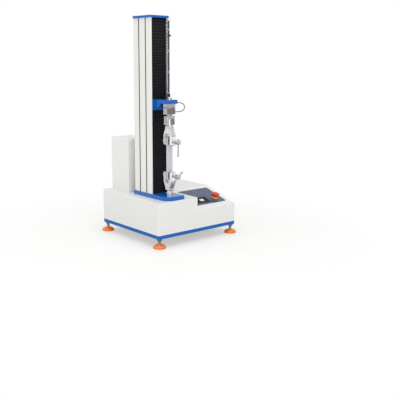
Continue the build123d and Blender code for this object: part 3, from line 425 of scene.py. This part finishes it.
def metal(name, colour, roughness, grain=(1, 1, 1)):
    finish = Finish(name, metallic=1.0)
    film = finish.noise(30.0, detail=3.0)
    grained = finish.noise(900.0, detail=2.0, place=finish.stretched(grain))
    worn = 0.6 * film + 0.4 * grained
    finish.paint(
        base_color=finish.mix(film * 0.7 + grained * 0.3, dimmed(colour, 0.86), colour),
        roughness=roughness - METAL_SPREAD / 2 + METAL_SPREAD * worn,
    )
    finish.relief(grained, depth=0.03 * MM)
    return finish.material


keep("chrome", metal("bright_chrome", tone(246, 246, 247), 0.1, grain=(1, 1, 6)))
keep("steel", metal("polished_steel", tone(190, 188, 190), 0.18, grain=(1, 1, 6)))
keep("nickel", metal("satin_nickel", tone(228, 227, 231), 0.3, grain=(1, 1, 0.05)))
keep("cell", metal("load_cell_plate", tone(226, 222, 226), 0.4, grain=(0.05, 1, 1)))
keep("stud", metal("bright_zinc", tone(222, 220, 212), 0.26))
keep("clamp", metal("clamp_steel", tone(214, 212, 214), 0.22, grain=(1, 6, 1)))
keep("zinc", metal("zinc_plate", tone(196, 194, 186), 0.3))
keep("ground", metal("ground_steel", tone(176, 176, 180), 0.22, grain=(1, 1, 0.03)))
keep("alloy", metal("machined_alloy", tone(190, 190, 194), 0.34))

# %% [markdown]
# ## Jaw teeth
# The teeth of the jaws are too small to be worth geometry. Two sets of slanting ridges, multiplied
# together, make a bump of little pyramids, and a mask keeps them on the faces next to the strip.

# %% Jaw teeth
TOOTH_PITCH = 1.2 * MM
TOOTH_DEPTH = 0.5 * MM
STRIP_HALF = 3.5 * MM
TEETH_REACH = 0.8 * MM


def jaw_steel():
    finish = Finish("jaw_steel", metallic=1.0)
    film = finish.noise(40.0, detail=3.0)
    low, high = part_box("test_strip")
    facing = abs(finish.axis("Y") - (low.y + high.y) / 2) < STRIP_HALF + TEETH_REACH
    across, up = finish.axis("X"), finish.axis("Z")
    teeth = (across + up).ridges(TOOTH_PITCH) * (across - up).ridges(TOOTH_PITCH)
    finish.paint(
        base_color=finish.mix(film, tone(206, 206, 210), tone(230, 230, 233)),
        roughness=0.2 + 0.1 * film,
    )
    finish.relief(teeth * facing, TOOTH_DEPTH)
    return finish.material


keep("jaw", jaw_steel())

# %% [markdown]
# ## Plastics and rubber
# Moulded plastic copies the tool's spark-eroded texture: small round bumps. The same helper makes
# the orange foot, the red stop button, black mouldings, the primed casting and the rubber belt,
# with a softer sheen where the surface is rubber.

# %% Plastics
def moulded(name, colour, roughness, coat=0.0, grain=700.0, depth=0.08 * MM, sheen=0.0):
    finish = Finish(name, ior=1.46, coat_weight=coat, coat_roughness=0.12, sheen_weight=sheen)
    cloud = finish.noise(22.0, detail=3.0)
    pits = finish.noise(grain, detail=1.0)
    finish.paint(
        base_color=finish.mix(cloud, dimmed(colour, 0.88), colour),
        roughness=roughness + 0.1 * (pits - 0.5),
    )
    finish.relief(pits, depth)
    return finish.material


keep("cast", moulded("primed_casting", tone(70, 74, 78), 0.55, grain=260.0, depth=0.3 * MM))
keep("gauge_cover", moulded("gauge_cover", tone(113, 112, 101), 0.42, coat=0.2))
keep("orange", moulded("orange_foot", tone(250, 124, 34), 0.3, coat=0.5))
keep("black", moulded("black_moulding", tone(26, 26, 28), 0.45, coat=0.1))
keep("motor", moulded("motor_enamel", tone(34, 35, 38), 0.4, coat=0.2))
keep("belt", moulded("belt_rubber", tone(28, 28, 28), 0.7, sheen=0.2))
keep("jacket", moulded("cable_jacket", tone(42, 38, 32), 0.5, coat=0.1))
keep("red", moulded("red_button", tone(226, 14, 16), 0.25, coat=0.3))

# %% [markdown]
# ## Cloth of the bellows
# The bellows are polyester coated with black polyurethane. The weave shows through as a fine cross
# grain, and the ridges of the folds are polished by use, so they are less rough. The ridges are
# also
# painted lighter in patches: a painted highlight along the crests. The pattern reads the cloth's
# own
# UV map, so it stays on the cloth when the folds open and close.

# %% Bellows cloth
def bellows_cloth():
    finish = Finish(
        "coated_cloth", ior=1.5, specular_ior_level=0.3, sheen_weight=0.04, sheen_roughness=0.4,
    )
    cloth = finish.node("ShaderNodeUVMap", {"uv_map": "cloth"})
    waves = {"Vector": cloth, "Scale": 700.0, "Distortion": 0.0}
    warp, weft = (
        finish.node("ShaderNodeTexWave", {"bands_direction": direction}, waves, output=1)
        for direction in "XY"
    )
    ridge = finish.node("ShaderNodeAttribute", {"attribute_name": "ridge"}, output=2)
    patchy = finish.noise(60.0, detail=2.0, place=cloth)
    finish.paint(
        # painted highlight: the crests are painted lighter where the noise is high
        base_color=finish.mix(ridge * patchy, tone(9, 9, 11), tone(29, 29, 33)),
        roughness=0.62 - 0.16 * ridge,
    )
    finish.relief(warp + weft, depth=0.06 * MM)
    return finish.material


keep("cloth", bellows_cloth())

# %% [markdown]
# ## Limit rod
# The rod that trips the end switches is enamelled dark, with a white ring every 100 mm as a rough
# scale of height. The rings are a remainder of the height: where it is small, the paint is white.

# %% Rod paint
FIRST_RING = 33 * MM
RING_SPACING = 100 * MM
RING_WIDTH = 3.5 * MM


def rod_paint():
    finish = Finish("rod_enamel", ior=1.5, coat_weight=0.5, coat_roughness=0.1)
    ring = (finish.axis("Z") - FIRST_RING) % RING_SPACING < RING_WIDTH
    chips = finish.noise(400.0, detail=2.0)
    finish.paint(
        base_color=finish.mix(ring, tone(52, 48, 76), tone(236, 236, 236)),
        roughness=0.3 + 0.1 * chips,
    )
    finish.relief(chips, depth=0.03 * MM)
    return finish.material


keep("rod", rod_paint())

# %% [markdown]
# ## Console film
# The console is covered with a printed polyester film, slate blue and slightly mottled. A noise of
# about two centimetres, with its middle range spread out, gives the mottle, and a very fine one
# the grain of the film.

# %% Console film
def panel_film():
    finish = Finish(
        "console_film", ior=1.5, specular_ior_level=0.4, coat_weight=0.4, coat_roughness=0.12,
    )
    mottle = finish.between(finish.noise(55.0, detail=4.0, roughness=0.65), 0.35, 0.7)
    dots = finish.noise(1200.0, detail=1.0)
    finish.paint(
        base_color=finish.mix(mottle, tone(44, 62, 92), tone(66, 86, 118)),
        roughness=0.3 + 0.1 * dots,
    )
    finish.relief(dots, depth=0.04 * MM)
    return finish.material


keep("film", panel_film())

# %% [markdown]
# ## Display window
# The display is a black window with a small pale screen behind its lower left part, and the film's
# colour goes on over its rear and right border. A comparison along X and one along Y, multiplied
# together, are 1 inside the screen and 0 outside: a mask without any picture. Faint rows on the
# screen stand for its lines of figures.

# %% Display window
SCREEN_X, SCREEN_Y = 58 * MM, 27 * MM
SCREEN_HALF_X, SCREEN_HALF_Y = 12 * MM, 10 * MM
FILM_OVER_RIGHT, FILM_OVER_REAR = 8 * MM, 15 * MM
ROW_SPACING, ROW_WIDTH = 5 * MM, 1.4 * MM


def display_glass():
    finish = Finish("display_window", ior=1.5, specular_ior_level=0.08)
    low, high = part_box("display_window")
    x, y = finish.axis("X"), finish.axis("Y")
    inside_x = abs(x - (low.x + SCREEN_X)) < SCREEN_HALF_X
    inside_y = abs(y - (low.y + SCREEN_Y)) < SCREEN_HALF_Y
    clear = (x < high.x - FILM_OVER_RIGHT) * (y < high.y - FILM_OVER_REAR)
    rows = y % ROW_SPACING < ROW_WIDTH
    haze = finish.noise(90.0, detail=2.0)
    window = finish.mix(clear, tone(80, 94, 118), tone(16, 17, 20))
    screen = finish.mix(rows, tone(238, 242, 245), tone(206, 214, 222))
    finish.paint(
        base_color=finish.mix(inside_x * inside_y, window, screen),
        roughness=0.24 + 0.1 * haze,
    )
    return finish.material


keep("display", display_glass())

# %% [markdown]
# ## Collar of the stop button
# The emergency stop goes through the console: what stands on the console is a yellow collar, and
# what hangs below it is a black contact block. The console slopes, so the border between the two
# colours is a plane that rises with Y.

# %% Stop collar
CONSOLE_SLOPE = 0.2889
BORDER_ABOVE_PANEL = 1 * MM


def stop_collar():
    finish = Finish("stop_collar", ior=1.46, coat_weight=0.3, coat_roughness=0.1)
    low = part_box("control_panel")[0]
    height = finish.axis("Z") - finish.axis("Y") * CONSOLE_SLOPE
    above = height > low.z - low.y * CONSOLE_SLOPE + BORDER_ABOVE_PANEL
    pits = finish.noise(500.0, detail=1.0)
    finish.paint(
        base_color=finish.mix(above, tone(28, 28, 30), tone(247, 200, 30)),
        roughness=0.3 + 0.1 * pits,
    )
    finish.relief(pits, depth=0.04 * MM)
    return finish.material


keep("collar", stop_collar())

# %% [markdown]
# ## Strip under test
# The sample is a flat strip of pale elastomer, a little cloudy and finely grained. Both patterns
# read the strip's own UV map, so they stretch with it.

# %% Sample finish
def sample_strip():
    finish = Finish("sample_elastomer", ior=1.43, coat_weight=0.15, coat_roughness=0.3)
    along = finish.node("ShaderNodeUVMap", {"uv_map": "strip"})
    cloud = finish.noise(18.0, detail=3.0, place=along)
    grain = finish.noise(900.0, detail=1.0, place=along)
    finish.paint(
        base_color=finish.mix(cloud, tone(194, 192, 199), tone(210, 208, 214)),
        roughness=0.4 + 0.1 * grain,
    )
    finish.relief(grain, depth=0.04 * MM)
    return finish.material


keep("sample", sample_strip())

# %% [markdown]
# ## Which solid wears which finish
# One table names the finish of every solid, so nothing is left with a bare colour. A finish is
# made once and shared.

# %% Dress the solids
worn_by = {
    "white": ["base_casing", "rear_cover", "rear_panel", "rod_guides"],
    "column": ["column"],
    "blue": ["base_tray", "work_table", "top_plate", "carriage", "crosshead_arm"],
    "chrome": ["upper_yoke", "upper_back_screw", "lower_yoke", "lower_back_screw", "base_adapter",
               "lock_rings", "arm_bolt"],
    "steel": ["upper_bar", "lower_bar"],
    "clamp": ["upper_screw", "lower_screw"],
    "stud": ["foot_studs"],
    "nickel": ["clevis", "clevis_pin", "adapter_pin"],
    "cell": ["load_cell"],
    "jaw": ["upper_front_jaw", "upper_back_jaw", "lower_front_jaw", "lower_back_jaw"],
    "zinc": ["fasteners"],
    "ground": ["guide_rails", "rail_blocks", "ball_screw", "ball_nut", "screw_bearings"],
    "alloy": ["screw_pulley", "motor_pulley", "electronics"],
    "cast": ["pedestal_frame"],
    "gauge_cover": ["cell_cover"],
    "orange": ["foot_pads"],
    "black": ["cable_glands", "switch_box", "rear_sockets", "power_rocker", "upper_stop",
              "lower_stop", "trip_block"],
    "motor": ["servo_motor"],
    "belt": ["drive_belt"],
    "jacket": ["cell_cable"],
    "red": ["estop_head"],
    "collar": ["estop_base"],
    "rod": ["limit_rod"],
    "film": ["control_panel"],
    "display": ["display_window"],
    "cloth": ["bellows_upper", "bellows_lower"],
    "sample": ["test_strip"],
}


def wear(piece, finish):
    piece.data.materials.clear()
    piece.data.materials.append(finishes[finish])


for finish, names in worn_by.items():
    for name in names:
        wear(cad[name], finish)
wear(cable, "jacket")
undressed = sorted(set(cad) - {name for names in worn_by.values() for name in names})
print("finishes", len(finishes), "undressed", undressed)

# %% [markdown]
# ## One fold after another
# The bellows are one long strip of cloth, folded back and forth, with mitred corners where the
# pleats turn round the column's inside. Each half fold is the same open U of three edges, moved up
# and drawn in or let out about the middle of its back edge. So a mesh can start from the U at the
# bottom and grow by extruding its edges, each time with one lift and one scale. Crowding makes the
# folds taller towards the top of a bellows.

# %% Folds
CROWDING_CURVE = 1.5


def open_strip(bm, points):
    corners = [bm.verts.new(point) for point in points]
    for pair in zip(corners, corners[1:]):
        bm.edges.new(pair)


def fold_heights(low, high, folds, crowding):
    shares = [1 + crowding * (i / (folds - 1)) ** CROWDING_CURVE for i in range(folds)]
    unit = (high - low) / sum(shares)
    return [share * unit for share in shares]


def half_fold(bm, edges, rise, scale, middle):
    grown = bmesh.ops.extrude_edge_only(bm, edges=edges)["geom"]
    ring = [v for v in grown if isinstance(v, bmesh.types.BMVert)]
    bmesh.ops.translate(bm, verts=ring, vec=(0, 0, rise))
    bmesh.ops.scale(bm, verts=ring, vec=scale, space=Matrix.Translation(-middle))
    return ring, [e for e in grown if isinstance(e, bmesh.types.BMEdge)]


print("four crowded folds in a metre:", [round(h, 3) for h in fold_heights(0, 1, 4, 0.9)])

# %% [markdown]
# ## Pleated bellows
# The mesh keeps two things for the finish: how far along the cloth a point lies, and whether it is
# on a ridge. A Solidify modifier gives the cloth its thickness afterwards. The upper bellows hang
# open near the top and lie close on the crosshead, because their weight packs them, while the
# lower ones stand in even folds. Both stretch between the standing frame and the crosshead.

# %% Bellows
CLOTH_THICKNESS = 0.5 * MM


def add_mesh(name, bm):
    mesh = bpy.data.meshes.new(name)
    bm.to_mesh(mesh)
    bm.free()
    return add_object(name, mesh)


def pleated(name, node, folds, crowding, side_depth, front_depth):
    low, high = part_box(node)
    bm = bmesh.new()
    inset, depth = side_depth * MM, front_depth * MM
    back = Vector(((low.x + high.x) / 2, high.y, 0))
    half, deep = (high.x - low.x) / 2, high.y - low.y
    closed = Vector(((half - inset) / half, (deep - depth) / deep, 1))
    opened = Vector((1 / closed.x, 1 / closed.y, 1))
    open_strip(bm, [
        (low.x + inset, high.y, low.z), (low.x + inset, low.y + depth, low.z),
        (high.x - inset, low.y + depth, low.z), (high.x - inset, high.y, low.z),
    ])
    ridge = bm.verts.layers.float.new("ridge")
    cloth = bm.loops.layers.uv.new("cloth")
    edges = list(bm.edges)
    run = 0.0
    for height in fold_heights(low.z, high.z, folds, crowding):
        step = math.hypot(height / 2, depth)
        for scale, crest in ((opened, 1.0), (closed, 0.0)):
            ring, edges = half_fold(bm, edges, height / 2, scale, back)
            for vert in ring:
                vert[ridge] = crest
            for face in {f for e in edges for f in e.link_faces}:
                for loop in face.loops:
                    v = loop.vert
                    loop[cloth].uv = (v.co.x - v.co.y, run + (step if v in ring else 0))
            run += step
    bmesh.ops.recalc_face_normals(bm, faces=bm.faces)
    if sum(f.normal.y for f in bm.faces) > 0:
        bmesh.ops.reverse_faces(bm, faces=bm.faces)
    piece = add_mesh(name, bm)
    wall = piece.modifiers.new("cloth_thickness", "SOLIDIFY")
    wall.thickness = CLOTH_THICKNESS
    wall.offset = -1
    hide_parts(node)
    wear(piece, "cloth")
    print(name, "folds", folds, "cloth length", round(run, 3))
    return piece


upper_bellows = pleated("pleated_cover_upper", "bellows_upper", folds=32, crowding=0.9,
                        side_depth=6.5, front_depth=4.5)
lower_bellows = pleated("pleated_cover_lower", "bellows_lower", folds=42, crowding=0.0,
                        side_depth=4.0, front_depth=3.6)
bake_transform(upper_bellows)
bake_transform(lower_bellows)

# %% [markdown]
# ## The strip in the grips
# The strip is a flat bar with softened edges. Between the faces of the two grips it stretches with
# the crosshead, and its mesh is cut into many short lengths along its height. It starts from a
# cube, of which only the edges that climb more than a centimetre are cut.

# %% Sample strip
LEAST_CLIMB = 10 * MM
SOFT_EDGE = 0.6 * MM


def sample(name, node, cuts):
    low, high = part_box(node)
    bm = bmesh.new()
    bmesh.ops.create_cube(bm, size=1.0)
    bmesh.ops.scale(bm, verts=bm.verts, vec=high - low)
    bmesh.ops.translate(bm, verts=bm.verts, vec=(low + high) / 2)
    upright = [e for e in bm.edges if abs(e.verts[0].co.z - e.verts[1].co.z) > LEAST_CLIMB]
    bmesh.ops.subdivide_edges(bm, edges=upright, cuts=cuts)
    along = bm.loops.layers.uv.new("strip")
    for face in bm.faces:
        for loop in face.loops:
            loop[along].uv = (loop.vert.co.x - loop.vert.co.y, loop.vert.co.z)
    piece = add_mesh(name, bm)
    soft = piece.modifiers.new("soft_edge", "BEVEL")
    soft.width = SOFT_EDGE
    soft.segments = 2
    soft.limit_method = "ANGLE"
    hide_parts(node)
    wear(piece, "sample")
    print(name, "lengths", cuts + 1)
    return piece


strip = sample("elastomer_strip", "test_strip", cuts=60)
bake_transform(strip)

# %% [markdown]
# ## Threads
# A thread is a small triangle swept along a helix: spin turns it about the screw's axis and moves
# it along the axis by a share of the pitch at each step. The ridges are added to the plain shanks
# of the levelling studs and the clamping screws, whose threads run on into the yoke and come out
# as the jaw opens. A stud's thread starts just above its foot pad, in the middle of the pad.

# %% Threads
PAD_RADIUS = 31 * MM
PAD_HEIGHT = 18 * MM
STUD_CLEARANCE = 0.5 * MM
STUD_TURNS = 9
CLAMP_OVERHANG = 10.7 * MM
CLAMP_TURNS = 11
THREAD_PITCH = 2 * MM
THREAD_CREST = 7.45 * MM
THREAD_ROOT = 6.8 * MM
RIDGE_WIDTH = 1.5 * MM
TURN_STEPS = 24


def coil(bm, start, along, turns):
    out = along.orthogonal().normalized()
    profile = [(THREAD_ROOT, 0), (THREAD_CREST, RIDGE_WIDTH / 2), (THREAD_ROOT, RIDGE_WIDTH)]
    corners = [bm.verts.new(start + out * radius + along * rise) for radius, rise in profile]
    edges = [bm.edges.new(pair) for pair in zip(corners, corners[1:] + corners[:1])]
    bmesh.ops.spin(
        bm, geom=corners + edges, cent=start, axis=along, dvec=along * THREAD_PITCH / TURN_STEPS,
        angle=2 * math.pi * turns, steps=TURN_STEPS * turns,
    )


def threads(name, body, finish, starts, along, turns):
    bm = bmesh.new()
    for start in starts:
        coil(bm, Vector(start), Vector(along), turns)
    bmesh.ops.holes_fill(bm, edges=bm.edges, sides=3)
    bmesh.ops.recalc_face_normals(bm, faces=bm.faces)
    piece = add_mesh(name, bm)
    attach(piece, body)
    wear(piece, finish)
    print(name, "turns", turns * len(starts))


pads_low, pads_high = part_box("foot_pads")
stud_starts = [
    (x, y, PAD_HEIGHT + STUD_CLEARANCE)
    for x in (pads_low.x + PAD_RADIUS, pads_high.x - PAD_RADIUS)
    for y in (pads_low.y + PAD_RADIUS, pads_high.y - PAD_RADIUS)
]
threads("stud_threads", "machine_frame", "stud", stud_starts, (0, 0, 1), STUD_TURNS)
for grip, body in (("upper", "upper_clamp"), ("lower", "lower_clamp")):
    screw_low, screw_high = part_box(grip + "_screw")
    middle = (screw_low + screw_high) / 2
    start = (middle.x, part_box(grip + "_yoke")[0].y - CLAMP_OVERHANG, middle.z)
    threads(grip + "_clamp_thread", body, "clamp", [start], (0, 1, 0), CLAMP_TURNS)

# %% [markdown]
# ## Floor
# The machine stands on a pale plain floor that fades into white with distance, so the picture has
# no horizon: the painted surface gives way to an even glow. Glossy paint and metal mirror the
# floor, and the whole white of it would wash the blue tray out, so a mirror ray sees the floor
# near the machine dimmer than it is.

# %% Floor
FLOOR_RADIUS = 6.0
WHITE = (1, 1, 1, 1)
GLOW_AT_MACHINE = 0.4
GLOW_FROM, GLOW_TO = 0.4, 1.2
MIRRORED_AT_MACHINE = 0.25
MIRRORED_FROM, MIRRORED_TO = 0.5, 2.2


def studio_floor():
    bm = bmesh.new()
    bmesh.ops.create_circle(bm, cap_ends=True, segments=96, radius=FLOOR_RADIUS)
    floor = add_mesh("studio_floor", bm)
    finish = Finish("pale_floor", ior=1.4)
    grain = finish.noise(6.0, detail=3.0)
    finish.paint(
        base_color=finish.mix(grain, tone(241, 241, 238), tone(246, 246, 244)), roughness=0.6,
    )
    glow, dim = (
        finish.node("ShaderNodeEmission", {}, {"Color": WHITE, "Strength": strength})
        for strength in (1.0, MIRRORED_AT_MACHINE)
    )
    measured = {"operation": "LENGTH"}
    distance = finish.node("ShaderNodeVectorMath", measured, {0: finish.place}, output=1)
    further = finish.between(distance, GLOW_FROM, GLOW_TO)
    faded = GLOW_AT_MACHINE + (1 - GLOW_AT_MACHINE) * further
    seen = finish.either(faded, Shade(finish, finish.surface.outputs[0]), glow)
    far = finish.between(distance, MIRRORED_FROM, MIRRORED_TO)
    mirrored = finish.either(far, dim, glow)
    look = finish.either(finish.ray("Is Glossy Ray"), seen, mirrored)
    finish.feed(finish.tree.nodes["Material Output"].inputs["Surface"], look)
    floor.data.materials.append(finish.material)
    return floor


floor = studio_floor()
print("floor radius", FLOOR_RADIUS, "m")

# %% [markdown]
# ## Background
# The world is an even studio: the camera sees it white, and matt surfaces are lit by it softly.
# Bright metal sees a white backdrop behind the machine and a slightly dimmer room in front,
# crossed by a dark band at eye level, which is what gives chrome its dark lines.

# %% World
ROOM_LIGHT = 0.78
MIRROR_GREY = (0.8, 0.8, 0.8, 1)
FRONT_SHARE, FRONT_END, BACK_START = 0.85, -0.7, 0.35
BAND_SHARE, BAND_INNER, BAND_OUTER = 0.15, 0.03, 0.16


def studio_world():
    world = bpy.data.worlds.new("even_studio")
    world.use_nodes = True
    bpy.context.scene.world = world
    sky = Graph(world.node_tree, "Generated")
    room = sky.tree.nodes["Background"]
    sky.feed(room.inputs["Color"], WHITE)
    sky.feed(room.inputs["Strength"], ROOM_LIGHT)
    sides = sky.between(sky.axis("Y"), FRONT_END, BACK_START, start=FRONT_SHARE)
    band = sky.between(abs(sky.axis("Z")), BAND_INNER, BAND_OUTER, start=BAND_SHARE)
    mirrored = {"Color": MIRROR_GREY, "Strength": sides * band}
    mirror = sky.node("ShaderNodeBackground", {}, mirrored)
    lit = sky.either(sky.ray("Is Glossy Ray"), Shade(sky, room.outputs[0]), mirror)
    direct = sky.ray("Is Camera Ray").at_least(sky.ray("Is Transmission Ray"))
    backdrop = sky.node("ShaderNodeBackground", {}, {"Color": WHITE, "Strength": 1.0})
    seen = sky.either(direct, lit, backdrop)
    sky.feed(sky.tree.nodes["World Output"].inputs["Surface"], seen)
    return sky


sky = studio_world()
print("world nodes", len(sky.tree.nodes))

# %% [markdown]
# ## Lamps
# The even room alone would leave the picture flat. Large soft lamps above, to the left and low in
# front add the direction, and they are so large that their shadows have no edge. The camera
# doesn't see them.

# %% Lamps
def softbox(name, place, target, size, watts):
    lamp = bpy.data.lights.new(name, "AREA")
    lamp.shape = "RECTANGLE"
    lamp.size, lamp.size_y = size
    lamp.energy = watts
    box = add_object(name, lamp)
    facing = (Vector(target) - Vector(place)).to_track_quat("-Z", "Y")
    box.matrix_world = Matrix.Translation(place) @ facing.to_matrix().to_4x4()
    box.visible_camera = False


softbox("softbox_above", (-0.4, -0.6, 3.0), target=(0, 0, 0.4), size=(2.4, 2.4), watts=30)
softbox("softbox_left", (-2.8, 0.6, 1.6), target=(0, 0, 0.6), size=(1.6, 2.2), watts=10)
softbox("softbox_front", (-0.9, -3.2, 0.8), target=(0, 0, 0.4), size=(2.0, 1.2), watts=12)
bpy.context.scene.view_settings.view_transform = "Standard"

# %% [markdown]
# ## Last update
# The view layer is brought up to date once more, so that every object's place is current.

# %% Update the view layer
bpy.context.view_layer.update()
